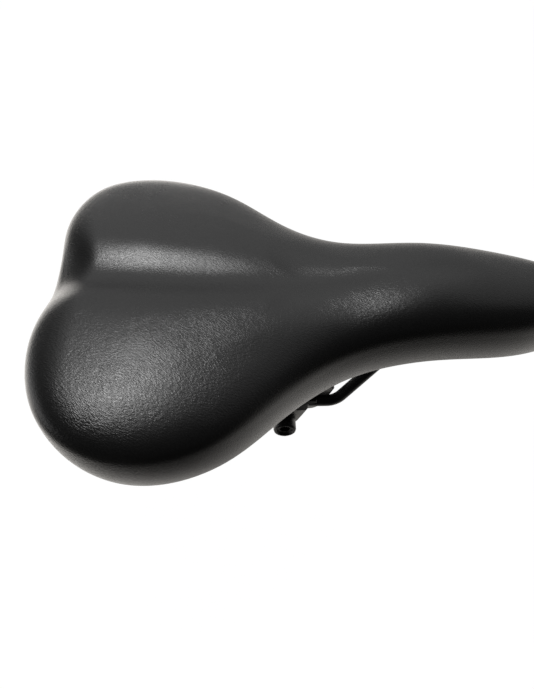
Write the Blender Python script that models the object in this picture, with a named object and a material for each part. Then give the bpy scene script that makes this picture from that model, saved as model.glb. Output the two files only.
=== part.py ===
"""Bicycle saddle with steel rails and a two-plate seat post clamp.

Frame: metres, +Z up, +X towards the nose, +Y to the rider's left. The origin is on the plane of
symmetry, midway along the saddle's length and level with the clamp's lowest edge.
Lengths below are in millimetres, measured from the centre of the clamp bolt, and are turned into
metres when a mesh is made. The empty that everything hangs from puts the bolt in its place.
"""

import math

import bmesh
import bpy
import numpy as np

MM = 0.001

# ---------------------------------------------------------------- driving dimensions (mm)
# Plan outline of the padded top, one side, from the rear centre round to the nose tip: (x, y).
OUTLINE = [
    (-124.0, 0.0), (-122.5, 20.5), (-123.3, 41.8), (-109.7, 84.2), (-76.5, 100.8),
    (-33.0, 89.4), (0.0, 61.2), (33.0, 40.5), (66.0, 33.9), (110.0, 29.2),
    (143.0, 21.1), (157.7, 11.6), (162.0, 0.0),
]
# Height of the padded top along the middle, before the centre channel is sunk in: (x, z).
SPINE = [
    (-143, 109.6), (-88, 98.7), (-33, 92.5), (22, 89.6), (77, 94.9), (121, 90.4), (165, 85.9),
]
# Centre channel: (x, depth) and (x, half width).
CHANNEL = [
    (-154, 9.9), (-121, 9.5), (-100, 8.4), (-73, 7.8), (-44, 6.8), (-15, 5.0),
    (9, 4.2), (35, 2.8), (77, 0.9), (105, 0.0), (176, 0.0),
]
CHANNEL_WIDTH = [(-132, 18.6), (-60, 17.5), (0, 12.5), (35, 9.5), (165, 9.5)]
# Broad swell that the channel is sunk in: (x, height) and (x, half width).
RIDGE = [
    (-124, 0.0), (-100, 4.0), (-72, 4.8), (-33, 4.4), (9, 3.6),
    (40, 3.2), (77, 2.8), (121, 1.8), (150, 0.6), (176, 0.0),
]
RIDGE_WIDTH = [(-143, 60.0), (-75, 60.0), (0, 32.0), (33, 22.0), (66, 19.0), (165, 16.0)]

# Pairs are (rear, nose); the form blends from one to the other about BLEND_X.
CROWN_DROP = (20.2, 18.7)  # top to the widest line
SIDE_DEPTH = (27.3, 20.5)  # widest line to the lower rim
ROUNDNESS = (2.8, 3.0)  # exponent of the shoulder's curve
TUCK = (5.7, 4.1)  # how far the side turns in below the widest line
HEM = (10.0, 7.2)  # cover folded under the base
BLEND_X = -22.0
BLEND_LENGTH = 27.5

COVER_T = 1.4  # leatherette
GAP = 0.35  # between separate pieces
BASE_T = 3.0
PAD_T = 24.0  # cover and foam over the base's crown

RAIL_R = 3.5  # 7 mm rod
RAIL_Y = 22.0  # 44 mm between rail centres in the clamp
RAIL_Z = 10.3  # rail centre above the bolt
# Corners of the left rail's centre line from the rear end to the front end: (x, y, z).
RAIL_PATH = [
    (-105, 46.5, 57.8), (-87, 41.2, 51.0), (-47, RAIL_Y, RAIL_Z),
    (31.2, RAIL_Y, RAIL_Z), (67, 8.9, 48.0), (113, 8.5, 57.0),
]
RAIL_BEND = 12.0

BOLT_R = 4.0  # M8
CLAMP_LOW = -13.0  # lowest edge of the inner plates
# Where the clamp bolt's axis (along Y) crosses the plane of symmetry, in the saddle's frame.
BOLT_CENTRE = (-(OUTLINE[0][0] + OUTLINE[-1][0]) / 2, 0.0, -CLAMP_LOW)


# ---------------------------------------------------------------- scene and materials
for old in list(bpy.data.objects):
    bpy.data.objects.remove(old, do_unlink=True)


def material(name, colour, roughness, metallic=0.0):
    mat = bpy.data.materials.new(name)
    mat.use_nodes = True
    inputs = mat.node_tree.nodes["Principled BSDF"].inputs
    inputs["Base Color"].default_value = (*colour, 1.0)
    inputs["Roughness"].default_value = roughness
    inputs["Metallic"].default_value = metallic
    return mat


LEATHERETTE = material("leatherette", colour=(0.018, 0.018, 0.019), roughness=0.42)
FOAM = material("foam", colour=(0.12, 0.12, 0.12), roughness=0.95)
PLASTIC = material("base_plastic", colour=(0.02, 0.02, 0.021), roughness=0.5)
BLACK_STEEL = material(
    "black_steel", colour=(0.01, 0.01, 0.012), roughness=0.32, metallic=0.2)
GREY_STEEL = material(
    "grey_steel", colour=(0.22, 0.22, 0.215), roughness=0.45, metallic=0.7)
STAPLE = material("staple_steel", colour=(0.55, 0.55, 0.54), roughness=0.35, metallic=1.0)
BLACK_OXIDE = material(
    "black_oxide", colour=(0.012, 0.012, 0.013), roughness=0.38, metallic=0.6)


# ---------------------------------------------------------------- bodies, as empties on their joints
def empty(name, parent=None, at=(0, 0, 0)):
    body = bpy.data.objects.new(name, None)
    bpy.context.scene.collection.objects.link(body)
    body.location = [c * MM for c in at]
    body.parent = parent
    return body


ROOT = empty("post_clamp", at=BOLT_CENTRE)
TILT = empty("clamp_carrier", ROOT)  # turns about the bolt axis, Y
SADDLE = empty("saddle", TILT)  # slides along the rails, X
PLATE_L = empty("outer_left", TILT)  # opens along +Y
PLATE_R = empty("outer_right", TILT)  # opens along -Y
BOLT = empty("bolt", PLATE_R)  # turns about Y


# ---------------------------------------------------------------- objects
def add(name, mesh, mat, parent, sharp=35):
    """A closed object from (points, faces) in mm, facing outwards, smooth but for sharp edges."""
    verts, faces = mesh
    me = bpy.data.meshes.new(name)
    me.from_pydata([tuple(float(c) * MM for c in v) for v in verts], [],
                   [tuple(int(i) for i in face) for face in faces])
    bm = bmesh.new()
    bm.from_mesh(me)
    bmesh.ops.remove_doubles(bm, verts=bm.verts, dist=1e-6)
    bmesh.ops.recalc_face_normals(bm, faces=bm.faces)
    if bm.calc_volume(signed=True) < 0:
        bmesh.ops.reverse_faces(bm, faces=bm.faces)
    bm.to_mesh(me)
    bm.free()
    me.shade_smooth()
    me.set_sharp_from_angle(angle=math.radians(sharp))
    if mat:
        me.materials.append(mat)
    ob = bpy.data.objects.new(name, me)
    bpy.context.scene.collection.objects.link(ob)
    ob.parent = parent
    return ob


def helper(name, mesh):
    """A hidden object for the boolean modifiers of others."""
    ob = add(name, mesh, None, ROOT)
    ob.hide_render = True
    ob.display_type = "WIRE"
    return ob


def combine(ob, other, operation):
    modifier = ob.modifiers.new(operation.lower() + "_" + other.name, "BOOLEAN")
    modifier.operation = operation
    modifier.solver = "EXACT"
    modifier.object = other


def join(ob, other):
    combine(ob, other, "UNION")


def cut(ob, other):
    combine(ob, other, "DIFFERENCE")


# ---------------------------------------------------------------- shapes, as (points, faces)
def unit(vector):
    return vector / np.linalg.norm(vector)


def unit_rows(vectors):
    return vectors / np.linalg.norm(vectors, axis=-1, keepdims=True)


def loft(rings):
    """A capped stack of closed rings with the same number of points."""
    n = len(rings[0])
    verts = [p for ring in rings for p in ring]
    faces = []
    for k in range(len(rings) - 1):
        for i in range(n):
            j = (i + 1) % n
            faces.append((k * n + i, k * n + j, (k + 1) * n + j, (k + 1) * n + i))
    faces.append(tuple(range(n)))
    faces.append(tuple((len(rings) - 1) * n + i for i in range(n)))
    return verts, faces


def shrink(outline, depth):
    """A closed 2-D outline moved inwards by depth along its corner normals."""
    p = np.array(outline, float)
    following = np.roll(p, -1, 0)
    area = 0.5 * np.sum(p[:, 0] * following[:, 1] - following[:, 0] * p[:, 1])
    side = 1.0 if area > 0 else -1.0
    before, after = unit_rows(p - np.roll(p, 1, 0)), unit_rows(following - p)
    normal_before = np.c_[-before[:, 1], before[:, 0]] * side
    normal_after = np.c_[-after[:, 1], after[:, 0]] * side
    mitre = unit_rows(normal_before + normal_after)
    share = np.maximum((mitre * normal_before).sum(1), 0.5)
    return p + mitre * (depth / share)[:, None]


def slab(outline, y0, y1, chamfer=0.0, side=1):
    """A plate with an outline in X and Z, from y0 to y1, with chamfered edges."""
    if chamfer:
        small = shrink(outline, chamfer)
        levels = [(small, y0), (outline, y0 + chamfer), (outline, y1 - chamfer), (small, y1)]
    else:
        levels = [(outline, y0), (outline, y1)]
    return loft([[(x, side * y, z) for x, z in ring] for ring, y in levels])


def bar(section, x0, x1):
    """A bar along X with a cross-section in Y and Z."""
    return loft([[(x, y, z) for y, z in section] for x in (x0, x1)])


def turned(axis, profile, sides, centre=(0.0, 0.0), turn=0.0):
    """A turned piece along X, Y or Z from a profile of (radius, place along the axis)."""
    rings = []
    for radius, t in profile:
        ring = []
        for i in range(sides):
            angle = 2 * math.pi * i / sides + turn
            c = centre[0] + radius * math.cos(angle)
            s = centre[1] + radius * math.sin(angle)
            ring.append({"X": (t, c, s), "Y": (c, t, s), "Z": (c, s, t)}[axis])
        rings.append(ring)
    return loft(rings)


def rod(axis, radius, start, end, sides, centre=(0.0, 0.0), turn=0.0):
    return turned(axis, [(radius, start), (radius, end)], sides, centre, turn)


def rounded(corners, steps):
    """A closed 2-D outline from corners (across, up, radius)."""
    out, n = [], len(corners)
    for i in range(n):
        corner = np.array(corners[i][:2], float)
        radius = corners[i][2]
        if radius <= 0:
            out.append(tuple(corner))
            continue
        back = unit(np.array(corners[i - 1][:2], float) - corner)
        ahead = unit(np.array(corners[(i + 1) % n][:2], float) - corner)
        half = math.acos(max(-1, min(1, float(back @ ahead)))) / 2
        reach = radius / math.tan(half)
        centre = corner + unit(back + ahead) * (radius / math.sin(half))
        start, end = corner + back * reach, corner + ahead * reach
        angle0 = math.atan2(*(start - centre)[::-1])
        angle1 = math.atan2(*(end - centre)[::-1])
        sweep = (angle1 - angle0 + math.pi) % (2 * math.pi) - math.pi
        for k in range(steps + 1):
            angle = angle0 + sweep * k / steps
            out.append((centre[0] + radius * math.cos(angle),
                        centre[1] + radius * math.sin(angle)))
    return out


# ---------------------------------------------------------------- curves
def cubic(xs, ys, closed=False):
    """Slopes of a cubic spline through the points, natural at its ends, or periodic."""
    xs, ys = np.array(xs, float), np.array(ys, float)
    h = np.diff(xs)
    n = len(xs) - 1 if closed else len(xs)
    matrix, right = np.zeros((n, n)), np.zeros((n,) + ys.shape[1:])
    rise = np.diff(ys, axis=0) / h.reshape((-1,) + (1,) * (ys.ndim - 1))
    for i in range(n):
        if not closed and i in (0, n - 1):
            matrix[i, i] = 2
            matrix[i, 1 if i == 0 else i - 1] = 1
            right[i] = 3 * rise[0 if i == 0 else -1]
            continue
        before = (i - 1) % n
        matrix[i, before] += h[i]
        matrix[i, i] += 2 * (h[before] + h[i])
        matrix[i, (i + 1) % n] += h[before]
        right[i] = 3 * (h[i] * rise[before] + h[before] * rise[i])
    slopes = np.linalg.solve(matrix, right)
    return np.concatenate([slopes, slopes[:1]]) if closed else slopes


def hermite(xs, ys, slopes, x):
    """The curve through the points with the given slopes, at x."""
    xs, ys, x = np.array(xs, float), np.array(ys, float), np.asarray(x, float)
    i = np.clip(np.searchsorted(xs, x) - 1, 0, len(xs) - 2)
    h = xs[i + 1] - xs[i]
    t = (x - xs[i]) / h
    if ys.ndim > 1:
        h, t = h[..., None], t[..., None]
    return (ys[i] * (1 + 2 * t) * (1 - t) ** 2 + ys[i + 1] * t * t * (3 - 2 * t)
            + h * slopes[i] * t * (1 - t) ** 2 + h * slopes[i + 1] * t * t * (t - 1))


def smooth(table, x):
    xs, ys = zip(*table)
    return hermite(xs, ys, cubic(xs, ys), x)


def straight(table, x):
    xs, ys = zip(*table)
    return np.interp(x, xs, ys)


def level(table, x):
    """A table followed smoothly, level at its ends and never below zero."""
    xs, ys = np.array(table, float).T
    slopes = np.gradient(ys, xs)
    slopes[[0, 1, -2, -1]] = 0
    return np.maximum(hermite(xs, ys, slopes, np.clip(x, xs[0], xs[-1])), 0)


# ---------------------------------------------------------------- the form of the padded top
SAMPLES = 800  # fine points that the spokes' ends are picked from
TURN_COST = 22.0  # mm of outline that one radian of turning counts as
# Past x the spokes' feet bunch up: (x, furthest they reach beyond it, length that sets how soon).
SPOKE_REAR, SPOKE_NOSE = (-44.0, 35.0, 44.0), (110.0, 27.5, 27.5)
FEET_SPACING = 30.0  # least spacing of the spokes' feet, times the number of spokes


def half_outline(n):
    """n + 1 points from the rear centre to the nose tip, closer together where it turns."""
    points = OUTLINE + [(x, -y) for x, y in OUTLINE[-2::-1]]
    p = np.array(points, float)
    distance = np.r_[0, np.cumsum(np.hypot(*np.diff(p, axis=0).T) ** 0.75)]
    slopes = cubic(distance, p, closed=True)
    end = distance[len(OUTLINE) - 1]
    step = np.diff(hermite(distance, p, slopes, np.linspace(0, end, SAMPLES)), axis=0)
    heading = np.unwrap(np.arctan2(step[:, 1], step[:, 0]))
    turn = np.abs(np.diff(heading, prepend=heading[0]))
    cost = np.r_[0, np.cumsum(np.hypot(*step.T) + TURN_COST * turn)]
    pick = np.interp(np.linspace(0, cost[-1], n + 1), cost, np.arange(SAMPLES))
    half = hermite(distance, p, slopes, pick / (SAMPLES - 1) * end)
    half[[0, -1], 1] = 0
    return half


def mix(pair, share):
    """Between the (rear, nose) values of a pair, share being 1 at the rear."""
    return pair[1] + (pair[0] - pair[1]) * share


class Form:
    """Outer surface of the top on spokes from the middle line out to the plan outline."""

    def __init__(self, n):
        self.edge = half_outline(n)
        x = self.edge[:, 0]
        start, reach, length = SPOKE_REAR
        foot_x = np.where(x < start, start - reach * np.tanh((start - x) / length), x)
        start, reach, length = SPOKE_NOSE
        foot_x = np.where(x > start, start + reach * np.tanh((x - start) / length), foot_x)
        for i in range(1, n + 1):  # spokes never meet on the middle line
            foot_x[i] = max(foot_x[i], foot_x[i - 1] + FEET_SPACING / n)
        self.foot = np.c_[foot_x, np.zeros(n + 1)]
        self.rear = 1 / (1 + np.exp((x - BLEND_X) / BLEND_LENGTH))
        self.length = np.linalg.norm(self.edge - self.foot, axis=1)
        self.out = (self.edge - self.foot) / self.length[:, None]
        self.tuck = mix(TUCK, self.rear)
        self.edge_z = self.top(1.0)[:, 2]
        self.rim_z = self.edge_z - mix(SIDE_DEPTH, self.rear)

    def top(self, share):
        """A row of the top at a share of the way out."""
        x, y = (self.foot + (self.edge - self.foot) * share).T
        z = smooth(SPINE, x) + level(RIDGE, x) * np.exp(-((y / straight(RIDGE_WIDTH, x)) ** 2))
        z = z - level(CHANNEL, x) * np.exp(-((y / straight(CHANNEL_WIDTH, x)) ** 2))
        k = mix(ROUNDNESS, self.rear)
        z = z - mix(CROWN_DROP, self.rear) * (1 - (1 - share**k) ** (1 / k))
        return np.c_[x, y, z]

    def side(self, share):
        """A row of the side at a share of the way from the widest line down to the rim."""
        xy = self.edge - self.out * (self.tuck * share * share)[:, None]
        return np.c_[xy, self.edge_z - mix(SIDE_DEPTH, self.rear) * share]

    def under(self, inset, lift):
        """A row inset from the rim and lifted above it, inset being a number or one per spoke."""
        inset = np.minimum(self.tuck + inset, self.length)
        return np.c_[self.edge - self.out * inset[:, None], self.rim_z + lift]

    def climbing(self, inset, climb, lift):
        """A row inset from the rim that has climbed a share of the way to the base's crown."""
        row = self.under(inset, 0.0)
        row[:, 2] += (smooth(SPINE, row[:, 0]) - PAD_T - row[:, 2]) * climb + lift
        return row


def offset_rows(rows, depth):
    """The rows moved inwards along the normals, the middle line staying on the symmetry plane."""
    grid = np.array(rows)
    across = np.gradient(grid, axis=1)
    across[:, 0] = (0, 1, 0)  # across the plane of symmetry only y changes
    across[:, -1] = (0, -1, 0)
    normal = np.cross(across, np.gradient(grid, axis=0))
    middle = np.gradient(grid[0], axis=0)
    normal[0] = (0, 0, 1)
    normal[0, :, 0] = -middle[:, 2] / middle[:, 0]
    normal = unit_rows(normal)
    normal[1:] *= np.sign(normal[1, :, 2].mean())
    normal[:, [0, -1], 1] = 0
    return list(grid - normal * depth)


def shell(rows):
    """Half rows (y >= 0) mirrored to whole rings and joined; rows on the middle line weld shut."""
    verts, rings = [], []
    for row in rows:
        on_line = np.all(np.abs(row[:, 1]) < 1e-9)
        ring = list(range(len(verts), len(verts) + len(row)))
        verts.extend(tuple(p) for p in row)
        for i in range(len(row) - 2, 0, -1):
            if on_line:
                ring.append(ring[i])
            else:
                verts.append((row[i][0], -row[i][1], row[i][2]))
                ring.append(len(verts) - 1)
        rings.append(ring)
    faces = []
    for a, b in zip(rings, rings[1:]):
        for i in range(len(a)):
            j = (i + 1) % len(a)
            face = tuple(dict.fromkeys((a[i], a[j], b[j], b[i])))
            if len(face) > 2:
                faces.append(face)
    return verts, faces


SPOKES = 34
TOP_STEPS = 8
SIDE_SHARES = (0.25, 0.5, 0.75, 1.0)
form = Form(SPOKES)
SKIN = [form.top(math.sin(math.pi / 2 * k / TOP_STEPS)) for k in range(TOP_STEPS + 1)]
SKIN += [form.side(share) for share in SIDE_SHARES]  # from the middle line out and down to the rim


# ---------------------------------------------------------------- cover
def build_cover():
    hem = mix(HEM, form.rear)
    fold_outside = [form.under(1.2, -1.1), form.under(4.2, -1.3), form.under(hem, -1.0)]
    fold_inside = [form.under(hem, 0.3), form.under(4.2, 0.15), form.under(COVER_T + 0.5, 0.3)]
    lining = offset_rows(SKIN[:-1], COVER_T)
    rows = SKIN + fold_outside + fold_inside + lining[::-1]
    add("cover", shell(rows), LEATHERETTE, SADDLE, sharp=50)


build_cover()

# ---------------------------------------------------------------- base shell
FLANGE = 11.0
FLANGE_Z = 0.45 + GAP  # underside of the flange above the rim
FLANGE_INSET = COVER_T + 1.4  # outer edge of the flange inside the rim
ROOM = form.length - form.tuck  # rim to middle line, per spoke
LEAD = np.minimum(FLANGE, ROOM * 0.42)  # the flange narrows with the nose
# Rows from the flange up to the middle: (inset, share of the climb to the crown).
SLOPE = [
    (LEAD + 2.6, 0.45), (LEAD + ROOM * 0.14 + 3.0, 0.85), (LEAD + ROOM * 0.32, 0.96), (ROOM, 1.0),
]


def slope_rows(shifts, lifts):
    """The slope's rows, each shifted inwards and lifted, the last one on the middle line."""
    rows = [form.climbing(inset + shift, climb, lift)
            for (inset, climb), shift, lift in zip(SLOPE, shifts, lifts)]
    rows[-1][:, 1] = 0
    return rows


def build_base():
    over = [form.under(FLANGE_INSET, FLANGE_Z), form.under(FLANGE_INSET, FLANGE_Z + BASE_T),
            form.under(LEAD - 1.0, FLANGE_Z + BASE_T + 0.4)]
    over += slope_rows(shifts=(0, 0, 0, 0), lifts=(0, 0, 0, 0))
    below = [form.under(LEAD + 2.2, FLANGE_Z)]
    below += slope_rows(shifts=(2.9, 1.4, 0.6, 0), lifts=(-1.2, -2.6, -BASE_T, -BASE_T))
    return add("base_shell", shell(over[::-1] + below), PLASTIC, SADDLE)


base = build_base()

# ---------------------------------------------------------------- rail sockets, joined to the base
# Nose socket stations: (x, height of the shoulder, height of the neck).
NOSE_STATIONS = [(87.0, 61.0, 67.0), (115.4, 58.0, 63.5)]
SOCKET_R = 7.2
SOCKET_SIDES = 12
# Rear socket stations: (distance beyond the rail's end, height of the roof).
REAR_STATIONS = [(-10.0, 67.3), (3.0, 60.6)]


def crown_z(x):
    return float(smooth(SPINE, x)) - PAD_T


def nose_section(x, shoulder, neck):
    """Cross-section of the nose socket, its top buried in the base's crown."""
    right = rounded([(-14.8, 48.5, 3), (14.8, 48.5, 3), (14.8, 52.8, 0), (10.4, shoulder, 0),
                     (6.5, neck, 0), (4.5, crown_z(x) - 1.5, 0)], 3)
    mirrored = [(-y, z) for y, z in right[::-1] if y > 0 and z > 52.0]
    return [(x, y, z) for y, z in right + mirrored]


def rear_socket(side):
    """A round socket about the rail's end, its upper half drawn up to a roof."""
    end = np.array(RAIL_PATH[0], float) * (1, side, 1)
    outward = unit(end - np.array(RAIL_PATH[1], float) * (1, side, 1))
    across = unit(np.cross(outward, (0, 0, 1.0)))
    upward = np.cross(across, outward)
    rings = []
    for beyond, roof in REAR_STATIONS:
        ring = []
        for i in range(SOCKET_SIDES):
            angle = 2 * math.pi * (i + 0.5) / SOCKET_SIDES
            c, s = math.cos(angle), math.sin(angle)
            p = end + outward * beyond + across * SOCKET_R * c + upward * SOCKET_R * s
            if s > 0.0:
                p[2] = max(p[2], roof - 2.0 * (1 - s))
            ring.append(tuple(p))
        rings.append(ring)
    return loft(rings)


join(base, helper("nose_socket", loft([nose_section(*station) for station in NOSE_STATIONS])))
for side, letter in ((1, "l"), (-1, "r")):
    join(base, helper(f"rear_socket_{letter}", rear_socket(side)))

# ---------------------------------------------------------------- keel and ribs under the base
KEEL_HALF = 1.35
KEEL_X = [-84.0 + 12.0 * k for k in range(14)]
KEEL_TOP, KEEL_BOTTOM = -1.6, -6.8  # from the crown's upper face
RIBS = [(-61.5, 44.0, 6.3), (-15.5, 27.0, 6.1), (30.5, 12.5, 5.9)]  # (x, half length, depth)
RIB_HALF = 1.25


def rib_section(x, half, depth):
    """A rib's outline in Y and Z, shallower at its ends."""
    top = crown_z(x) - 1.9
    end_z, floor_z = top - depth + 3.1, top - depth + 1.9
    return [(-half, end_z), (-half + 6.0, floor_z), (half - 6.0, floor_z), (half, end_z),
            (half, top), (-half, top)]


keel = [(x, crown_z(x) + KEEL_TOP) for x in KEEL_X]
keel += [(x, crown_z(x) + KEEL_BOTTOM) for x in KEEL_X[::-1]]
join(base, helper("keel", slab(keel, -KEEL_HALF, KEEL_HALF)))
for k, (x, half, depth) in enumerate(RIBS):
    rib = bar(rib_section(x, half, depth), x - RIB_HALF, x + RIB_HALF)
    join(base, helper(f"rib_{k}", rib))

# ---------------------------------------------------------------- rails
RAIL_SIDES = 14
ARC_STEP = 9  # degrees of bend to a segment, about


def bent(points, radius):
    """A polyline with its corners rounded to arcs of the given radius."""
    p = [np.array(q, float) for q in points]
    out = [p[0]]
    for before, corner, after in zip(p, p[1:], p[2:]):
        back, ahead = unit(before - corner), unit(after - corner)
        half = math.acos(max(-1, min(1, float(back @ ahead)))) / 2
        reach = radius / math.tan(half)
        centre = corner + unit(back + ahead) * (radius / math.sin(half))
        turn = math.pi - 2 * half
        steps = max(2, int(math.degrees(turn) / ARC_STEP) + 1)
        start = (corner + back * reach - centre) / radius
        end = (corner + ahead * reach - centre) / radius
        for i in range(steps + 1):
            share = i / steps
            weight0 = math.sin((1 - share) * turn) / math.sin(turn)
            weight1 = math.sin(share * turn) / math.sin(turn)
            out.append(centre + radius * (start * weight0 + end * weight1))
    out.append(p[-1])
    return out


def tube(path, radius, chamfer):
    """A round bar along a path, with chamfered ends."""
    p = np.array(path)
    tangents = unit_rows(np.gradient(p, axis=0))
    first, last = tangents[0], tangents[-1]
    stations = [(p[0], first, radius - chamfer), (p[0] + first * chamfer, first, radius)]
    stations += [(c, t, radius) for c, t in zip(p[1:-1], tangents[1:-1])]
    stations += [(p[-1] - last * chamfer, last, radius), (p[-1], last, radius - chamfer)]
    rings = []
    for centre, tangent, r in stations:
        across = np.array([0.0, 1.0, 0.0])
        across = unit(across - tangent * (across @ tangent))
        other = np.cross(tangent, across)
        angles = [2 * math.pi * i / RAIL_SIDES for i in range(RAIL_SIDES)]
        rings.append([tuple(centre + r * (across * math.cos(w) + other * math.sin(w)))
                      for w in angles])
    return loft(rings)


for side, name in ((1, "rail_left"), (-1, "rail_right")):
    path = bent([(x, side * y, z) for x, y, z in RAIL_PATH], RAIL_BEND)
    add(name, tube(path, RAIL_R, chamfer=0.8), BLACK_STEEL, SADDLE)
    bore = list(path)  # longer than the rail by the gap at each end
    bore[0] = path[0] + unit(path[0] - path[1]) * GAP
    bore[-1] = path[-1] + unit(path[-1] - path[-2]) * GAP
    cut(base, helper("bore_" + name, tube(bore, RAIL_R + GAP, chamfer=0.2)))

# ---------------------------------------------------------------- staples that hold the hem
STAPLES = 20
STAPLE_SPOKES = 200
STAPLE_INSET, STAPLE_LIFT = 5.6, -1.15  # the staples' line, from the rim
STAPLE_HALF = 0.5
# Crown bar with its legs' shoulders: (along, up).
STAPLE_PROFILE = [(-5.2, -0.85), (-4.7, -1.5), (4.7, -1.5), (5.2, -0.85)]


def build_staples():
    half = Form(STAPLE_SPOKES).under(STAPLE_INSET, STAPLE_LIFT)
    line = np.concatenate([half, (half * (1, -1, 1))[-2:0:-1]])
    lengths = np.linalg.norm(np.diff(np.r_[line, line[:1]], axis=0), axis=1)
    distance = np.r_[0, np.cumsum(lengths)]
    for k in range(STAPLES):
        place = (k + 0.5) * distance[-1] / STAPLES
        i = int(np.searchsorted(distance, place) - 1)
        along = unit(line[(i + 2) % len(line)] - line[i - 2])
        up = np.array([0, 0, 1.0])
        up = unit(up - along * (up @ along))
        across = np.cross(up, along)
        rings = [[tuple(line[i] + along * a + up * b + across * h) for a, b in STAPLE_PROFILE]
                 for h in (-STAPLE_HALF, STAPLE_HALF)]
        add(f"staple_{k + 1:02d}", loft(rings), STAPLE, SADDLE)


build_staples()


# ---------------------------------------------------------------- foam
def build_foam():
    rows = offset_rows(SKIN[:-1], COVER_T + GAP + 0.45)
    rows += [form.under(FLANGE_INSET + 0.2, FLANGE_Z + BASE_T + 0.9),
             form.under(LEAD - 1.4, FLANGE_Z + BASE_T + 1.1)]
    rows += slope_rows(shifts=(-0.6, -0.4, 0, 0), lifts=(0.8, 0.7, 0.6, 0.6))
    add("foam_pad", shell(rows), FOAM, SADDLE)


build_foam()

# ---------------------------------------------------------------- seat post band
POST_R = 11.1  # 22.2 mm seat post
POST_X = 16.2
BAND_R = POST_R + 2.0  # outside of the 2 mm strap
BAND_HALF = 11.8  # half height
BAND_END_X = 0.5  # where the strap's two tails end
TAIL_Y = (5.2, 8.4)  # inner and outer faces of the tails
ROUGH_BORE_R = POST_R - 0.4  # taken out to size once the ears are on
ARC_STEPS = 36
EAR_FACE = BAND_R + 0.2  # root of the ears' teeth, just clear of the band's side
DISC_R = 12.0
TOOTH_IN_R = 5.6
TEETH = 30
TOOTH_H = 0.8
BOLT_CLEAR = 0.4

bolt_way = helper("bolt_way", rod("Y", BOLT_R + BOLT_CLEAR, -45, 45, 28))


def toothed(y_back, y_base, y_tip, side, phase=0.0):
    """A disc with radial teeth on one face, teeth growing taller outwards."""
    n = TEETH * 2
    rings = []
    # (radius, y, share of the full tooth height)
    levels = [(DISC_R, y_back, 0), (DISC_R, y_base, 1), (TOOTH_IN_R, y_base, TOOTH_IN_R / DISC_R)]
    for r, y, share in levels:
        ring = []
        for i in range(n):
            angle = 2 * math.pi * i / n + phase
            tooth = (y_tip - y_base) * share if i % 2 else 0.0
            ring.append((r * math.cos(angle), side * (y + tooth), r * math.sin(angle)))
        rings.append(ring)
    return loft(rings)


def post_arc(radius, tail_y, sign):
    """Round the front of the post from the tail at sign * tail_y to the opposite one."""
    start = sign * math.degrees(math.atan2(tail_y, -math.sqrt(radius**2 - tail_y**2)))
    points = []
    for i in range(ARC_STEPS + 1):
        angle = math.radians(start - 2 * start * i / ARC_STEPS)
        points.append((POST_X + radius * math.cos(angle), radius * math.sin(angle)))
    return points


def build_band():
    tail_in, tail_out = TAIL_Y
    strap = [(BAND_END_X, tail_in)] + post_arc(ROUGH_BORE_R, tail_in, 1)
    strap += [(BAND_END_X, -tail_in), (BAND_END_X, -tail_out)]
    strap += post_arc(BAND_R, tail_out, -1) + [(BAND_END_X, tail_out)]
    rings = [[(x, y, z) for x, y in strap] for z in (-BAND_HALF, BAND_HALF)]
    band = add("post_band", loft(rings), GREY_STEEL, ROOT)
    for side in (1, -1):
        ear = toothed(tail_in + 0.4, EAR_FACE, EAR_FACE + TOOTH_H, side)
        join(band, helper(f"ear_{side}", ear))
    cut(band, helper("post_way", rod("Z", POST_R, -20, 20, 72, (POST_X, 0.0))))
    cut(band, bolt_way)


build_band()

# ---------------------------------------------------------------- clamp plates
GROOVE_R = RAIL_R + 0.3
INNER_FACE = EAR_FACE + 2 * TOOTH_H + 0.3  # root of the inner plates' teeth
INNER_Y = (INNER_FACE + 0.3, RAIL_Y - 1.6)
# Outlines of the plates by their corners: (x, z, radius).
INNER_OUTLINE = rounded([
    (-30.3, 21.0, 3.0), (-25.6, 7.6, 2.5), (-14.0, 3.6, 5.0), (-9.5, -9.0, 6.0),
    (-4.5, CLAMP_LOW, 5.0), (4.5, CLAMP_LOW, 5.0), (9.5, -9.0, 6.0), (14.0, 3.6, 5.0),
    (25.6, 7.6, 2.5), (30.8, 21.6, 1.6),
], 4)
OUTER_OUTLINE = rounded([
    (-14.3, 8.4, 2.0), (-14.6, 13.4, 1.0), (-19.3, 14.1, 1.2), (-19.3, 17.6, 1.2),
    (19.3, 17.6, 1.2), (19.3, 14.1, 1.2), (14.6, 13.4, 1.0), (14.3, 8.4, 2.0),
    (11.6, 2.0, 6.0), (8.0, -5.8, 5.0), (3.5, -9.2, 3.0),
    (-3.5, -9.2, 3.0), (-8.0, -5.8, 5.0), (-11.6, 2.0, 6.0),
], 3)
OUTER_Y = (23.2, 26.9)
# Section of the lip along the outer plates' upper edge: (y, z).
LIP = [(20.7, 14.4), (24.6, 14.4), (24.6, 16.9), (22.0, 16.9), (20.7, 16.0)]
LIP_HALF = 18.0
BOSS_END = 27.4
HEX_TURN = math.pi / 6
POCKET_R = 13.5 / math.sqrt(3) + 0.3  # to the corners of the left plate's nut pocket


def build_inner_plate(side, tag, groove):
    plate = add(f"inner_plate_{tag}", slab(INNER_OUTLINE, *INNER_Y, 0.8, side), GREY_STEEL, TILT)
    boss = toothed(INNER_FACE + 2.5, INNER_FACE, INNER_FACE - TOOTH_H, side,
                   phase=math.pi / TEETH)
    join(plate, helper(f"inner_boss_{tag}", boss))
    cut(plate, groove)
    cut(plate, bolt_way)


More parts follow.
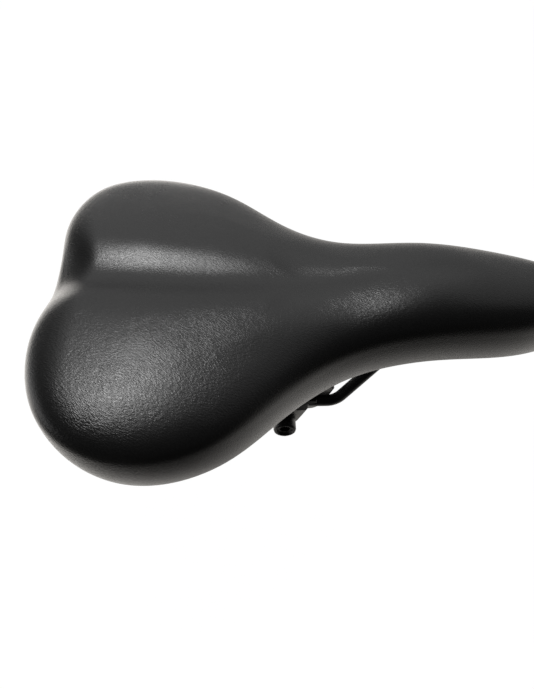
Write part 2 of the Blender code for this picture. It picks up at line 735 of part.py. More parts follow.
def build_outer_plate(side, tag, groove, parent, boss_r, boss_end):
    plate = add(f"outer_plate_{tag}", slab(OUTER_OUTLINE, *OUTER_Y, 0.7, side), GREY_STEEL, parent)
    lip = bar([(side * y, z) for y, z in LIP], -LIP_HALF, LIP_HALF)
    join(plate, helper(f"lip_{tag}", lip))
    start, end = sorted((side * (OUTER_Y[0] + 1.0), side * boss_end))
    join(plate, helper(f"outer_boss_{tag}", rod("Y", boss_r, start, end, 32)))
    cut(plate, groove)
    cut(plate, bolt_way)
    return plate


# (side, tag, body of the outer plate, radius and end of its boss)
PLATES = [(1, "left", PLATE_L, 9.0, BOSS_END + 1.5), (-1, "right", PLATE_R, 7.4, BOSS_END)]
outer_plates = {}
for side, tag, parent, boss_r, boss_end in PLATES:
    groove = helper(f"groove_{tag}", rod("X", GROOVE_R, -40, 40, 24, (side * RAIL_Y, RAIL_Z)))
    build_inner_plate(side, tag, groove)
    outer_plates[tag] = build_outer_plate(side, tag, groove, parent, boss_r, boss_end)
nut_pocket = helper("nut_pocket", rod("Y", POCKET_R, 24.6, 40.0, 6, turn=HEX_TURN))
cut(outer_plates["left"], nut_pocket)

# ---------------------------------------------------------------- nut, washer and bolt
NUT_FLATS = 13.0  # M8
NUT_Y = (25.0, 31.5)
WASHER_R = 6.9
WASHER_Y = (-BOSS_END - 1.3, -BOSS_END - 0.3)
KEY_FLATS = 6.0
KEY_DEPTH = 4.8
HEAD_R = 6.9
HEAD_L = 8.1
HEAD_Y = WASHER_Y[0] - 0.3  # underside of the head
HEAD_END = HEAD_Y - HEAD_L
# Profiles about the bolt's axis: (radius, y).
BOLT_PROFILE = [
    (HEAD_R - 1.1, HEAD_END), (HEAD_R - 0.35, HEAD_END + 0.5), (HEAD_R, HEAD_END + 1.4),
    (HEAD_R, HEAD_Y), (BOLT_R, HEAD_Y), (BOLT_R, 32.8), (BOLT_R - 0.8, 33.8),
]
DISH_PROFILE = [
    (5.2, HEAD_END - 1.0), (5.2, HEAD_END), (4.7, HEAD_END + 0.5), (4.3, HEAD_END + 1.6),
]


def build_nut():
    """Captive nut in the left plate."""
    blank = rod("Y", NUT_FLATS / math.sqrt(3), *NUT_Y, 6, turn=HEX_TURN)
    nut = add("clamp_nut", blank, BLACK_OXIDE, PLATE_L)
    cut(nut, helper("nut_way", rod("Y", BOLT_R + 0.25, 20, 40, 24)))


def build_washer():
    washer = add("washer", rod("Y", WASHER_R, *WASHER_Y, 28), BLACK_OXIDE, PLATE_R)
    cut(washer, bolt_way)


def build_bolt():
    """Socket head bolt from the right; the head's end is dished around its key way."""
    bolt = add("clamp_bolt", turned("Y", BOLT_PROFILE, 28), BLACK_OXIDE, BOLT)
    key = rod("Y", KEY_FLATS / math.sqrt(3), HEAD_END - 3, HEAD_END + KEY_DEPTH, 6)
    cut(bolt, helper("key_way", key))
    cut(bolt, helper("head_dish", turned("Y", DISH_PROFILE, 28)))


build_nut()
build_washer()
build_bolt()
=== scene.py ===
"""A bicycle saddle: leatherette cover, foam pad, bent rails, and finishes for the CAD pieces.

Metres, +X towards the nose, +Y to the rider's left, +Z up, origin at the bottom centre of the
whole object. Form sizes are in millimetres from the middle of the clamp bolt, which BOLT places.
"""

import math

import bmesh
import bpy
import numpy as np
from mathutils import Matrix, Vector

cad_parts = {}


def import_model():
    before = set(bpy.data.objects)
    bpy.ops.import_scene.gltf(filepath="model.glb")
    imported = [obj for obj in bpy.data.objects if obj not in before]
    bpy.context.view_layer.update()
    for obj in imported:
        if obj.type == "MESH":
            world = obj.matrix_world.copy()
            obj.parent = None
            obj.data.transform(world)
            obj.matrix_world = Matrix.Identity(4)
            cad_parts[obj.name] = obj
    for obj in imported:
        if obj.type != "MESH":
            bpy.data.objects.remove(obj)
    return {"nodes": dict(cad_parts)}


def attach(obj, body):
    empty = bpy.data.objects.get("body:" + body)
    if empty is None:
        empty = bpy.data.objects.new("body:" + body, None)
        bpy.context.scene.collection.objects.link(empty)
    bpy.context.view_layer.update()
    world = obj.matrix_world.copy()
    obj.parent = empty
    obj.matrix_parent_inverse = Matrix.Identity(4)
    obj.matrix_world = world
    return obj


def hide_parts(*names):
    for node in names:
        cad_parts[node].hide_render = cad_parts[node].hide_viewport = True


MM = 0.001
BOLT = (-19.0, 0.0, 13.0)  # where the clamp bolt's axis crosses the plane of symmetry (mm)
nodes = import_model()["nodes"]
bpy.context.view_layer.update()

# ---------------------------------------------------------------- sizes of the padded form (mm)
# x, y of the left half of the plan outline, from tail to nose
OUTLINE = [
    (-124.0, 0.0), (-122.5, 20.5), (-123.3, 41.8), (-109.7, 84.2), (-76.5, 100.8),
    (-33.0, 89.4), (0.0, 61.2), (33.0, 40.5), (66.0, 33.9), (110.0, 29.2),
    (143.0, 21.1), (157.7, 11.6), (162.0, 0.0),
]
# x, height of the middle line before the ridge and channel are laid on it
SPINE = [
    (-143, 109.6), (-88, 98.7), (-33, 92.5), (22, 89.6), (77, 94.9), (121, 90.4), (165, 85.9),
]
# x, depth of the channel along the middle, and x, its spread to each side
CHANNEL = [
    (-154, 9.9), (-121, 9.5), (-100, 8.4), (-73, 7.8), (-44, 6.8), (-15, 5.0), (9, 4.2),
    (35, 2.8), (77, 0.9), (105, 0.0), (176, 0.0),
]
CHANNEL_WIDTH = [(-132, 18.6), (-60, 17.5), (0, 12.5), (35, 9.5), (165, 9.5)]
# x, height of the broad ridge under the channel, and x, its spread to each side
RIDGE = [
    (-124, 0.0), (-100, 4.0), (-72, 4.8), (-33, 4.4), (9, 3.6), (40, 3.2), (77, 2.8),
    (121, 1.8), (150, 0.6), (176, 0.0),
]
RIDGE_WIDTH = [(-143, 60.0), (-75, 60.0), (0, 35.0), (33, 27.0), (66, 25.0), (165, 20.0)]
# pairs are (rear, nose) values
CROWN_DROP = (20.2, 18.7)  # fall of the top from the middle to the outline
ROUNDNESS = (3.5, 3.2)  # exponent of that fall
SIDE_DEPTH = (27.3, 20.5)
TUCK = (5.7, 4.1)  # how far the side draws in at its lower rim
HEM = (10.0, 7.2)  # width of the cover folded under
BLEND_X, BLEND_SPREAD = -22.0, 27.5  # where and how softly rear values turn into nose values
# x past which the spokes' feet bunch up, their furthest reach past it, softness
SPOKE_REAR, SPOKE_NOSE = (-44.0, 35.0, 44.0), (110.0, 27.5, 27.5)
FOOT_SPAN = 30.0  # the least gap between spoke feet, times the number of spokes
COVER_T = 1.4
FLANGE = 11.0  # greatest width of the pad's flat lower border
FLANGE_Z = 0.8
BASE_T = 3.0
PAD_T = 24.0

SPOKES, TOP_ROWS, SIDE_ROWS, ROLL_ROWS = 150, 46, 12, 6
OUTLINE_SAMPLES = 1600
CHORD_POWER = 0.75  # spacing of the outline's spline knots, as a power of their distance
TURN_COST = 12.0  # length that one radian of turn counts for when spokes are shared out


# ---------------------------------------------------------------- curves
def spline_slopes(xs, ys, closed=False):
    """Slopes at the knots of a cubic spline, natural at its ends or closed into a loop."""
    xs, ys = np.array(xs, float), np.array(ys, float)
    gap = np.diff(xs)
    n = len(xs) - 1 if closed else len(xs)
    matrix = np.zeros((n, n))
    target = np.zeros((n,) + ys.shape[1:])
    rise = np.diff(ys, axis=0) / gap.reshape((-1,) + (1,) * (ys.ndim - 1))
    for i in range(n):
        if not closed and i in (0, n - 1):
            matrix[i, i] = 2
            matrix[i, 1 if i == 0 else i - 1] = 1
            target[i] = 3 * rise[0 if i == 0 else -1]
            continue
        before = (i - 1) % n
        matrix[i, before] += gap[i]
        matrix[i, i] += 2 * (gap[before] + gap[i])
        matrix[i, (i + 1) % n] += gap[before]
        target[i] = 3 * (gap[i] * rise[before] + gap[before] * rise[i])
    slopes = np.linalg.solve(matrix, target)
    return np.concatenate([slopes, slopes[:1]]) if closed else slopes


def hermite(xs, ys, slopes, x):
    """The curve through the knots with the given slopes, at x."""
    xs, ys = np.array(xs, float), np.array(ys, float)
    x = np.asarray(x, float)
    i = np.clip(np.searchsorted(xs, x) - 1, 0, len(xs) - 2)
    gap = xs[i + 1] - xs[i]
    t = (x - xs[i]) / gap
    if ys.ndim > 1:
        gap, t = gap[..., None], t[..., None]
    return (
        ys[i] * (1 + 2 * t) * (1 - t) ** 2
        + ys[i + 1] * t * t * (3 - 2 * t)
        + gap * slopes[i] * t * (1 - t) ** 2
        + gap * slopes[i + 1] * t * t * (t - 1)
    )


def along(table, x):
    """A smooth curve through a table, at x."""
    xs, ys = zip(*table)
    return hermite(xs, ys, spline_slopes(xs, ys), x)


def bulge(heights, widths, x, y):
    """A bell-shaped swelling across the middle line, its height never below zero."""
    xs, ys = (np.array(column, float) for column in zip(*heights))
    slopes = np.gradient(ys, xs)
    slopes[[0, 1, -2, -1]] = 0
    height = np.maximum(hermite(xs, ys, slopes, np.clip(x, xs[0], xs[-1])), 0)
    return height * np.exp(-((y / np.interp(x, *zip(*widths))) ** 2))


def half_outline(count):
    """The left half of the plan outline in count steps, closer together where it turns."""
    mirrored = [(x, -y) for x, y in OUTLINE[-2::-1]]
    loop = np.array(OUTLINE + mirrored, float)
    knots = np.r_[0, np.cumsum(np.hypot(*np.diff(loop, axis=0).T) ** CHORD_POWER)]
    slopes = spline_slopes(knots, loop, closed=True)
    end = knots[len(OUTLINE) - 1]
    fine = hermite(knots, loop, slopes, np.linspace(0, end, OUTLINE_SAMPLES))
    step = np.diff(fine, axis=0)
    length = np.hypot(*step.T)
    turn = np.r_[0, np.abs(np.diff(np.unwrap(np.arctan2(step[:, 1], step[:, 0]))))]
    cost = np.r_[0, np.cumsum(length + TURN_COST * turn)]
    pick = np.interp(np.linspace(0, cost[-1], count + 1), cost, np.arange(OUTLINE_SAMPLES))
    points = hermite(knots, loop, slopes, pick / (OUTLINE_SAMPLES - 1) * end)
    points[0, 1] = points[-1, 1] = 0
    return points


class Form:
    """The padded surface on spokes from the middle line out to the plan outline, y >= 0."""

    def __init__(self, count):
        self.outline = half_outline(count)
        x = self.outline[:, 0]
        limit, reach, softness = SPOKE_REAR
        foot_x = np.where(x < limit, limit - reach * np.tanh((limit - x) / softness), x)
        limit, reach, softness = SPOKE_NOSE
        foot_x = np.where(x > limit, limit + reach * np.tanh((x - limit) / softness), foot_x)
        gap = FOOT_SPAN / count
        for i in range(1, count + 1):
            foot_x[i] = max(foot_x[i], foot_x[i - 1] + gap)
        for i in range(count - 1, -1, -1):
            foot_x[i] = min(foot_x[i], foot_x[i + 1] - gap)
        self.feet = np.c_[foot_x, np.zeros(count + 1)]
        self.rear = 1 / (1 + np.exp((x - BLEND_X) / BLEND_SPREAD))  # 1 at the tail, 0 at the nose
        self.length = np.linalg.norm(self.outline - self.feet, axis=1)
        self.out = (self.outline - self.feet) / self.length[:, None]
        self.tuck = self.blend(TUCK)
        self.edge_z = self.top(1.0)[:, 2]
        self.rim_z = self.edge_z - self.blend(SIDE_DEPTH)

    def blend(self, pair):
        rear, nose = pair
        return nose + (rear - nose) * self.rear

    def top(self, r):
        """The top's row at r of the way from the middle line (0) to the outline (1)."""
        xy = self.feet + (self.outline - self.feet) * r
        x, y = xy.T
        z = along(SPINE, x) + bulge(RIDGE, RIDGE_WIDTH, x, y) - bulge(CHANNEL, CHANNEL_WIDTH, x, y)
        power = self.blend(ROUNDNESS)
        z = z - self.blend(CROWN_DROP) * (1 - (1 - r**power) ** (1 / power))
        return np.c_[xy, z]

    def side(self, q):
        """The side's row at q of the way down from the top's edge (0) to the lower rim (1)."""
        xy = self.outline - self.out * (self.tuck * q * q)[:, None]
        return np.c_[xy, self.edge_z - self.blend(SIDE_DEPTH) * q]

    def under(self, inset, rise):
        """A row inset from the lower rim and raised over it."""
        inset = np.minimum(self.tuck + inset, self.length)
        return np.c_[self.outline - self.out * inset[:, None], self.rim_z + rise]


# ---------------------------------------------------------------- meshes
def offset_rows(rows, depth):
    """The same rows moved inwards, square to the surface."""
    grid = np.array(rows)
    along_row = np.gradient(grid, axis=1)
    along_row[:, 0] = (0, 1, 0)
    along_row[:, -1] = (0, -1, 0)
    normals = np.cross(along_row, np.gradient(grid, axis=0))
    # on the middle line the normal stays in the plane of symmetry
    middle = np.gradient(grid[0], axis=0)
    slope = middle[:, 2] / middle[:, 0]
    normals[0] = np.c_[-slope, np.zeros(len(slope)), np.ones(len(slope))]
    normals /= np.linalg.norm(normals, axis=2)[:, :, None]
    normals[1:] *= np.sign(normals[1, :, 2].mean()) or 1.0
    normals[:, [0, -1], 1] = 0
    return list(grid - normals * depth)


def shell_mesh(rows):
    """Half rows mirrored into rings and joined; a row on the middle line is not doubled."""
    verts, faces, rings = [], [], []
    for row in rows:
        on_line = np.all(np.abs(row[:, 1]) < 1e-9)
        ring = list(range(len(verts), len(verts) + len(row)))
        verts += [tuple(point) for point in row]
        for i in range(len(row) - 2, 0, -1):
            if on_line:
                ring.append(ring[i])
            else:
                x, y, z = row[i]
                verts.append((x, -y, z))
                ring.append(len(verts) - 1)
        rings.append(ring)
    for a, b in zip(rings, rings[1:]):
        for i in range(len(a)):
            j = (i + 1) % len(a)
            face = tuple(dict.fromkeys((a[i], a[j], b[j], b[i])))
            if len(face) > 2:
                faces.append(face)
    return verts, faces


def add_mesh(name, verts, faces, material, sharp=None):
    """Make an object from points in mm from the bolt; edges over sharp degrees stay crisp."""
    mesh = bpy.data.meshes.new(name)
    mesh.from_pydata(((np.array(verts, float) + BOLT) * MM).tolist(), [], faces)
    bm = bmesh.new()
    bm.from_mesh(mesh)
    bmesh.ops.remove_doubles(bm, verts=bm.verts, dist=1e-7)
    bmesh.ops.recalc_face_normals(bm, faces=bm.faces)
    bm.to_mesh(mesh)
    bm.free()
    mesh.shade_smooth()
    if sharp:
        mesh.set_sharp_from_angle(angle=math.radians(sharp))
    ob = bpy.data.objects.new(name, mesh)
    bpy.context.scene.collection.objects.link(ob)
    mesh.materials.append(material)
    return ob


def register(ob, part):
    """Hide the CAD part that the object stands for and hang the object on the saddle; all of them
    ride on it.
    """
    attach(ob, "saddle")
    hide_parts(part)


# ---------------------------------------------------------------- materials
class Shader:
    """Helpers that build a node tree; an input is fed with a value or another node's output."""

    def __init__(self, tree, coordinates):
        self.tree = tree
        self.coord = self.node("ShaderNodeTexCoord").outputs[coordinates]

    def node(self, kind, inputs=None, **properties):
        made = self.tree.nodes.new(kind)
        for name, value in properties.items():
            setattr(made, name, value)
        self.feed(made, inputs or {})
        return made

    def feed(self, node, inputs):
        for name, value in inputs.items():
            if isinstance(value, bpy.types.NodeSocket):
                self.tree.links.new(value, node.inputs[name])
            else:
                node.inputs[name].default_value = value

    def noise(self, scale, detail=3.0, rough=0.5, vector=None, distortion=0.0):
        inputs = {"Scale": scale, "Detail": detail, "Roughness": rough, "Distortion": distortion}
        inputs["Vector"] = vector or self.coord
        return self.node("ShaderNodeTexNoise", inputs)

    def mapping(self, vector, **inputs):
        inputs = {name.title(): value for name, value in inputs.items()}
        return self.node("ShaderNodeMapping", {"Vector": vector, **inputs}).outputs["Vector"]

    def axes(self):
        return self.node("ShaderNodeSeparateXYZ", {0: self.coord}).outputs

    def math(self, operation, a, b):
        return self.node("ShaderNodeMath", {0: a, 1: b}, operation=operation).outputs[0]

    def plus(self, a, b):
        return self.math("ADD", a, b)

    def minus(self, a, b):
        return self.math("SUBTRACT", a, b)

    def times(self, a, b):
        return self.math("MULTIPLY", a, b)

    def remap(self, value, span, to, kind="LINEAR"):
        inputs = {"Value": value, "From Min": span[0], "From Max": span[1]}
        inputs.update({"To Min": to[0], "To Max": to[1]})
        return self.node("ShaderNodeMapRange", inputs, interpolation_type=kind).outputs["Result"]

    def colours(self, factor, low, high):
        inputs = {"Factor": factor, "A": (*low, 1), "B": (*high, 1)}
        return self.node("ShaderNodeMix", inputs, data_type="RGBA").outputs["Result"]

    def bump(self, height, strength, distance, normal=None):
        inputs = {"Strength": strength, "Distance": distance, "Height": height}
        if normal is not None:
            inputs["Normal"] = normal
        return self.node("ShaderNodeBump", inputs).outputs["Normal"]


class Look(Shader):
    """A material round its Principled BSDF."""

    def __init__(self, name):
        self.material = bpy.data.materials.new(name)
        self.material.use_nodes = True
        super().__init__(self.material.node_tree, "Object")
        self.bsdf = self.tree.nodes["Principled BSDF"]

    def surface(self, inputs):
        self.feed(self.bsdf, inputs)
        return self.material


def leatherette():
    """Black leatherette: fine wrinkles that break into pebbles in patches, shallower to the left."""
    s = Look("leatherette")
    warp = s.noise(scale=70.0, detail=2.0)
    sway = {0: warp.outputs["Color"], 1: (0.004, 0.004, 0.004), 2: s.coord}
    swayed = s.node("ShaderNodeVectorMath", sway, operation="MULTIPLY_ADD").outputs["Vector"]
    aside = s.mapping(swayed, rotation=(0.0, 0.0, math.radians(30)))
    drawn_out = s.mapping(aside, scale=(0.42, 1.45, 1.0))

    cell_size = {"Scale": 1450.0, "Smoothness": 0.6, "Vector": swayed}
    pebble = s.node("ShaderNodeTexVoronoi", feature="SMOOTH_F1")
    s.feed(pebble, cell_size)
    cells = s.minus(1.0, pebble.outputs["Distance"])

    wrinkle = s.noise(scale=1350.0, detail=2.0, vector=drawn_out, distortion=0.15)
    folds = s.remap(wrinkle.outputs["Fac"], span=(0.36, 0.64), to=(0.0, 1.0))

    patches = s.noise(scale=26.0, detail=2.0)
    fold_share = s.remap(patches.outputs["Fac"], span=(0.38, 0.62), to=(0.55, 0.95))
    pebbles = s.times(cells, s.times(s.minus(1.0, fold_share), 0.8))
    grain = s.plus(pebbles, s.times(folds, fold_share))
    depth = s.noise(scale=15.0, detail=1.0).outputs["Fac"]
    left = s.axes()["Y"]
    patchy = s.remap(depth, span=(0.35, 0.65), to=(0.75, 1.2))
    deep = s.times(patchy, s.remap(left, span=(-0.035, 0.015), to=(1.0, 0.6)))
    grain = s.times(grain, deep)

    swell = s.noise(scale=38.0, detail=2.0).outputs["Fac"]
    low = s.bump(swell, strength=0.5, distance=0.00022)
    normal = s.bump(grain, strength=0.27, distance=0.00026, normal=low)
    # painted shade: the base colour is darker in the bottoms of the wrinkles, where shade would fall
    crease_shaded_colour = s.colours(folds, low=(0.0052, 0.0052, 0.0055), high=(0.0105, 0.0104, 0.0103))
    worn = s.remap(depth, span=(0.35, 0.65), to=(0.275, 0.31))
    return s.surface({
        "Normal": normal,
        "Base Color": crease_shaded_colour,
        "Roughness": s.plus(worn, s.remap(folds, span=(0.0, 1.0), to=(0.045, -0.015))),
        "Specular IOR Level": 0.55,
        "Sheen Weight": 0.03,
        "Sheen Roughness": 0.4,
    })


def foam_material():
    s = Look("foam")
    cells = s.node("ShaderNodeTexVoronoi", {"Scale": 900.0, "Vector": s.coord}).outputs["Distance"]
    return s.surface({
        "Normal": s.bump(cells, strength=0.6, distance=0.0005),
        "Base Color": s.colours(cells, low=(0.05, 0.05, 0.05), high=(0.16, 0.16, 0.155)),
        "Roughness": 0.95,
    })


def moulded_plastic():
    s = Look("moulded_plastic")
    fine = s.noise(scale=900.0, rough=0.6).outputs["Fac"]
    broad = s.noise(scale=35.0).outputs["Fac"]
    return s.surface({
        "Normal": s.bump(fine, strength=0.28, distance=0.00012),
        "Base Color": s.colours(broad, low=(0.011, 0.011, 0.0115), high=(0.019, 0.019, 0.019)),
        "Roughness": s.remap(broad, span=(0.3, 0.7), to=(0.42, 0.56)),
    })


def black_paint():
    s = Look("black_paint")
    peel = s.noise(scale=420.0, detail=2.0).outputs["Fac"]
    wear = s.noise(scale=55.0, detail=5.0, rough=0.65).outputs["Fac"]
    return s.surface({
        "Normal": s.bump(peel, strength=0.22, distance=0.0001),
        "Base Color": s.colours(wear, low=(0.0055, 0.0056, 0.006), high=(0.0105, 0.0105, 0.011)),
        "Roughness": s.remap(wear, span=(0.3, 0.7), to=(0.28, 0.42)),
        "Specular IOR Level": 0.35,
    })


def grey_plating(name, low, high, metal, black_above=None):
    """Dull blotchy grey with a drawn grain; black over the height black_above (mm from BOLT)."""
    s = Look(name)
    blotch = s.noise(scale=110.0, detail=4.0, rough=0.6).outputs["Fac"]
    drawn_out = s.mapping(s.coord, scale=(0.25, 1.0, 1.0))
    grain = s.noise(scale=1500.0, detail=2.0, vector=drawn_out).outputs["Fac"]
    normal = s.bump(grain, strength=0.16, distance=0.00008)
    grey = s.colours(blotch, low, high)
    s.surface({
        "Normal": normal,
        "Roughness": s.remap(blotch, span=(0.3, 0.7), to=(0.38, 0.52)),
        "Metallic": metal,
    })
    if black_above is None:
        return s.surface({"Base Color": grey})
    height = s.axes()["Z"]
    ragged = s.plus(height, s.times(s.minus(blotch, 0.5), 0.0008))
    line = (black_above + BOLT[2]) * MM
    dipped = s.remap(ragged, span=(line - 0.0002, line + 0.0002), to=(0.0, 1.0))
    coat = {"Factor": dipped, "A": grey, "B": (0.006, 0.006, 0.0065, 1)}
    return s.surface({
        "Base Color": s.node("ShaderNodeMix", data_type="RGBA", inputs=coat).outputs["Result"],
        "Metallic": s.remap(dipped, span=(0.0, 1.0), to=(metal, 0.0)),
        "Specular IOR Level": s.remap(dipped, span=(0.0, 1.0), to=(0.5, 0.12)),
    })


def black_oxide():
    s = Look("black_oxide")
    blotch = s.noise(scale=160.0, detail=4.0, rough=0.6).outputs["Fac"]
    drawn_out = s.mapping(s.coord, scale=(1.0, 0.08, 1.0))
    turned = s.noise(scale=2200.0, detail=2.0, vector=drawn_out).outputs["Fac"]
    return s.surface({
        "Normal": s.bump(turned, strength=0.18, distance=0.00006),
        "Base Color": s.colours(blotch, low=(0.0045, 0.0046, 0.005), high=(0.010, 0.010, 0.0105)),
        "Roughness": s.remap(blotch, span=(0.3, 0.7), to=(0.3, 0.42)),
        "Specular IOR Level": 0.4,
    })


def staple_wire():
    s = Look("staple_wire")
    tone = s.noise(scale=900.0, detail=2.0).outputs["Fac"]
    return s.surface({
        "Base Color": s.colours(tone, low=(0.42, 0.42, 0.41), high=(0.62, 0.62, 0.6)),
        "Metallic": 1.0,
        "Roughness": s.remap(tone, span=(0.3, 0.7), to=(0.24, 0.4)),
    })


LEATHER = leatherette()
FOAM = foam_material()
PLASTIC = moulded_plastic()
PAINT = black_paint()
PLATED = grey_plating(
    "grey_plating", low=(0.16, 0.158, 0.152), high=(0.27, 0.266, 0.258), metal=0.75
)
OXIDE = black_oxide()
WIRE = staple_wire()
CAST = grey_plating("cast_grey", low=(0.36, 0.355, 0.345), high=(0.5, 0.495, 0.48), metal=0.3)
JAW = grey_plating(
    "grey_with_black_jaw",
    low=(0.24, 0.237, 0.23),
    high=(0.34, 0.336, 0.325),
    metal=0.4,
    black_above=7.2,
)

# ---------------------------------------------------------------- cover
form = Form(SPOKES)
hem = form.blend(HEM)
skin = [form.top(math.sin(math.pi / 2 * k / TOP_ROWS)) for k in range(TOP_ROWS + 1)]
skin += [form.side(k / SIDE_ROWS) for k in range(1, SIDE_ROWS + 1)]

ROLL_WIDTH, ROLL_DROP = 1.5, 1.15
ROLL_PLEATS = (0, 0, 0.05, 0.1, 0.15, 0.2)  # pleat depth on each row of the roll
# inset from the lower rim, rise, pleat depth
HEM_ROWS = [
    (2.6, -1.25, 0.26), (4.2, -1.3, 0.34), (5.8, -1.25, 0.4),
    (hem - 1.2, -1.1, 0.42), (hem - 0.3, -1.0, 0.42), (hem, -0.75, 0.3),
]
PLEAT_GAIN = 28.0  # how fast pleats deepen with the outline's bend, up to their full depth
MOST_SWELL, MOST_SINK = 1.1, 0.25
SMOOTHINGS = 40


def pleat_wave():
    """The hem's small pleats along the outline, from -1 to 1, deepest where it bends most."""
    tangent = np.gradient(form.outline, axis=0)
    angle = np.unwrap(np.arctan2(tangent[:, 1], tangent[:, 0]))
    steps = np.linalg.norm(np.diff(form.outline, axis=0), axis=1)
    run = np.r_[0, np.cumsum(steps)]
    amount = np.clip(np.abs(np.gradient(angle, run)) * PLEAT_GAIN, 0.0, 1.0)
    # an uneven pitch and an uneven height
    wave = np.sin(run * 1.15 + 0.9 * np.sin(run * 0.21)) * (0.7 + 0.3 * np.sin(run * 0.37 + 1.0))
    wave[0] = wave[-1] = 0
    return wave * amount


def folded_hem():
    """The cover's fold at the lower rim: a soft roll, then flat under the base."""
    stations = []
    for k, pleat in enumerate(ROLL_PLEATS, 1):
        part = math.sin(math.pi / 2 * k / ROLL_ROWS)
        stations.append((ROLL_WIDTH * part, -ROLL_DROP * part, pleat))
    wave = pleat_wave()
    rows = []
    for inset, rise, pleat in stations + HEM_ROWS:
        row = form.under(inset, rise)
        row[:, 2] -= wave * pleat
        rows.append(row)
    return rows


def drape():
    """How far the skin swells over its foam (mm): cloth under light pressure, its rim held."""
    verts, faces = shell_mesh(skin)
    still = np.array(verts, float)
    mesh = bpy.data.meshes.new("skin")
    mesh.from_pydata((still * MM).tolist(), [], faces)
    if mesh.polygons[len(mesh.polygons) // 2].normal.z < 0:
        mesh.flip_normals()
    ob = bpy.data.objects.new("skin", mesh)
    scene = bpy.context.scene
    scene.collection.objects.link(ob)
    held = ob.vertex_groups.new(name="held")
    held_rows = 4
    held.add(list(range(len(still) - held_rows * 2 * SPOKES, len(still))), 1.0, "REPLACE")
    cloth = ob.modifiers.new("cloth", "CLOTH")
    settings = cloth.settings
    settings.quality = 4
    settings.mass = 0.35
    settings.tension_stiffness = settings.compression_stiffness = 40.0
    settings.shear_stiffness = 12.0
    settings.bending_stiffness = 2.5
    settings.use_pressure = True
    settings.uniform_pressure_force = 4.0
    settings.vertex_group_mass = "held"
    settings.effector_weights.gravity = 0.0
    cloth.collision_settings.use_collision = False
    last_frame = 20
    cloth.point_cache.frame_start, cloth.point_cache.frame_end = 1, last_frame
    for number in range(1, last_frame + 1):
        scene.frame_set(number)
    shape = ob.evaluated_get(bpy.context.evaluated_depsgraph_get()).to_mesh()
    moved = np.zeros(len(still) * 3)
    shape.vertices.foreach_get("co", moved)
    normals = np.zeros(len(still) * 3)
    mesh.vertices.foreach_get("normal", normals)
    normals = normals.reshape(-1, 3)
    normals *= np.sign(normals[0, 2]) or 1.0
    swell = ((moved.reshape(-1, 3) / MM - still) * normals).sum(1)
    a, b = np.array([e.vertices[:] for e in mesh.edges]).T
    count = len(swell)
    links = np.bincount(a, minlength=count) + np.bincount(b, minlength=count)
    for _ in range(SMOOTHINGS):
        around = np.bincount(a, swell[b], count) + np.bincount(b, swell[a], count)
        swell = 0.5 * swell + 0.5 * around / links
    scene.frame_set(1)
    bpy.data.objects.remove(ob)
    return normals * np.clip(swell, -MOST_SINK, MOST_SWELL)[:, None]


def cover_mesh():
    """Skin, hem and lining in one, with the drape laid on the skin and the lining under it."""
    lining = offset_rows(skin[:-1], COVER_T)
    hem_back = [form.under(hem, 0.15), form.under(4.2, 0.15), form.under(COVER_T + 0.5, 0.3)]
    verts, faces = shell_mesh(skin + folded_hem() + hem_back + lining[::-1])
    verts = np.array(verts, float)
    swell = drape()
    verts[: len(swell)] += swell
    # the middle row has one vertex a spoke, every other row two; the lining's rows run backwards
    by_row = np.split(swell, range(SPOKES + 1, len(swell), 2 * SPOKES))
    lining_swell = np.concatenate(by_row[: len(lining)][::-1])
    verts[-len(lining_swell) :] += lining_swell
    return verts, faces


cover = add_mesh("cover_leatherette", *cover_mesh(), LEATHER, sharp=60)
smooth = cover.modifiers.new("smooth", "SUBSURF")
smooth.levels = smooth.render_levels = 1
register(cover, "cover")

# ---------------------------------------------------------------- foam pad
room = form.length - form.tuck
border = np.minimum(FLANGE, room * 0.42)
FLANGE_TOP = FLANGE_Z + BASE_T


def hollow(inset, climb, rise):
    """A row of the pad's underside, climb of the way from the rim up to the hollow's roof."""
    row = form.under(inset, 0.0)
    row[:, 2] += (along(SPINE, row[:, 0]) - PAD_T - row[:, 2]) * climb + rise
    return row


pad = offset_rows(skin[:-2], COVER_T + 0.6)
pad += [
    form.under(COVER_T + 1.8, FLANGE_TOP + 1.1),
    form.under(border - 1.4, FLANGE_TOP + 1.4),
    hollow(border + 1.7, climb=0.45, rise=1.2),
    hollow(border + room * 0.14 + 2.3, climb=0.85, rise=1.1),
    hollow(border + room * 0.32, climb=0.96, rise=1.0),
    hollow(room, climb=1.0, rise=1.0),
]
pad[-1][:, 1] = 0
register(add_mesh("foam_pad_soft", *shell_mesh(pad), FOAM), "foam_pad")

# ---------------------------------------------------------------- rails (mm)
# x, y, z of the left rail's ends and corners, from tail to nose
RAIL_PATH = [
    (-105, 46.5, 57.8), (-87, 41.2, 51.0), (-47, 22.0, 10.3),
    (31.2, 22.0, 10.3), (67, 8.9, 48.0), (113, 8.5, 57.0),
]
RAIL_R, BEND_R = 3.48, 12.0
BEND_STEP = 2.5  # degrees
ROD_SIDES, ROD_CHAMFER, CHAMFER_STEPS = 40, 0.7, 3


def bent(corners, radius):
    """A path through the corners, each rounded to an arc."""
    corners = [np.array(corner, float) for corner in corners]
    path = [corners[0]]
    for a, b, c in zip(corners, corners[1:], corners[2:]):
        to_a = (a - b) / np.linalg.norm(a - b)
        to_c = (c - b) / np.linalg.norm(c - b)
        half = math.acos(float(to_a @ to_c)) / 2
        middle = (to_a + to_c) / np.linalg.norm(to_a + to_c)
        centre = b + middle * (radius / math.sin(half))
        reach = radius / math.tan(half)
        turn = math.pi - 2 * half
        steps = max(4, int(math.degrees(turn) / BEND_STEP))
        start = (b + to_a * reach - centre) / radius
        end = (b + to_c * reach - centre) / radius
        for i in range(steps + 1):
            t = i / steps
            arm = start * math.sin((1 - t) * turn) + end * math.sin(t * turn)
            path.append(centre + radius * arm / math.sin(turn))
    path.append(corners[-1])
    return path


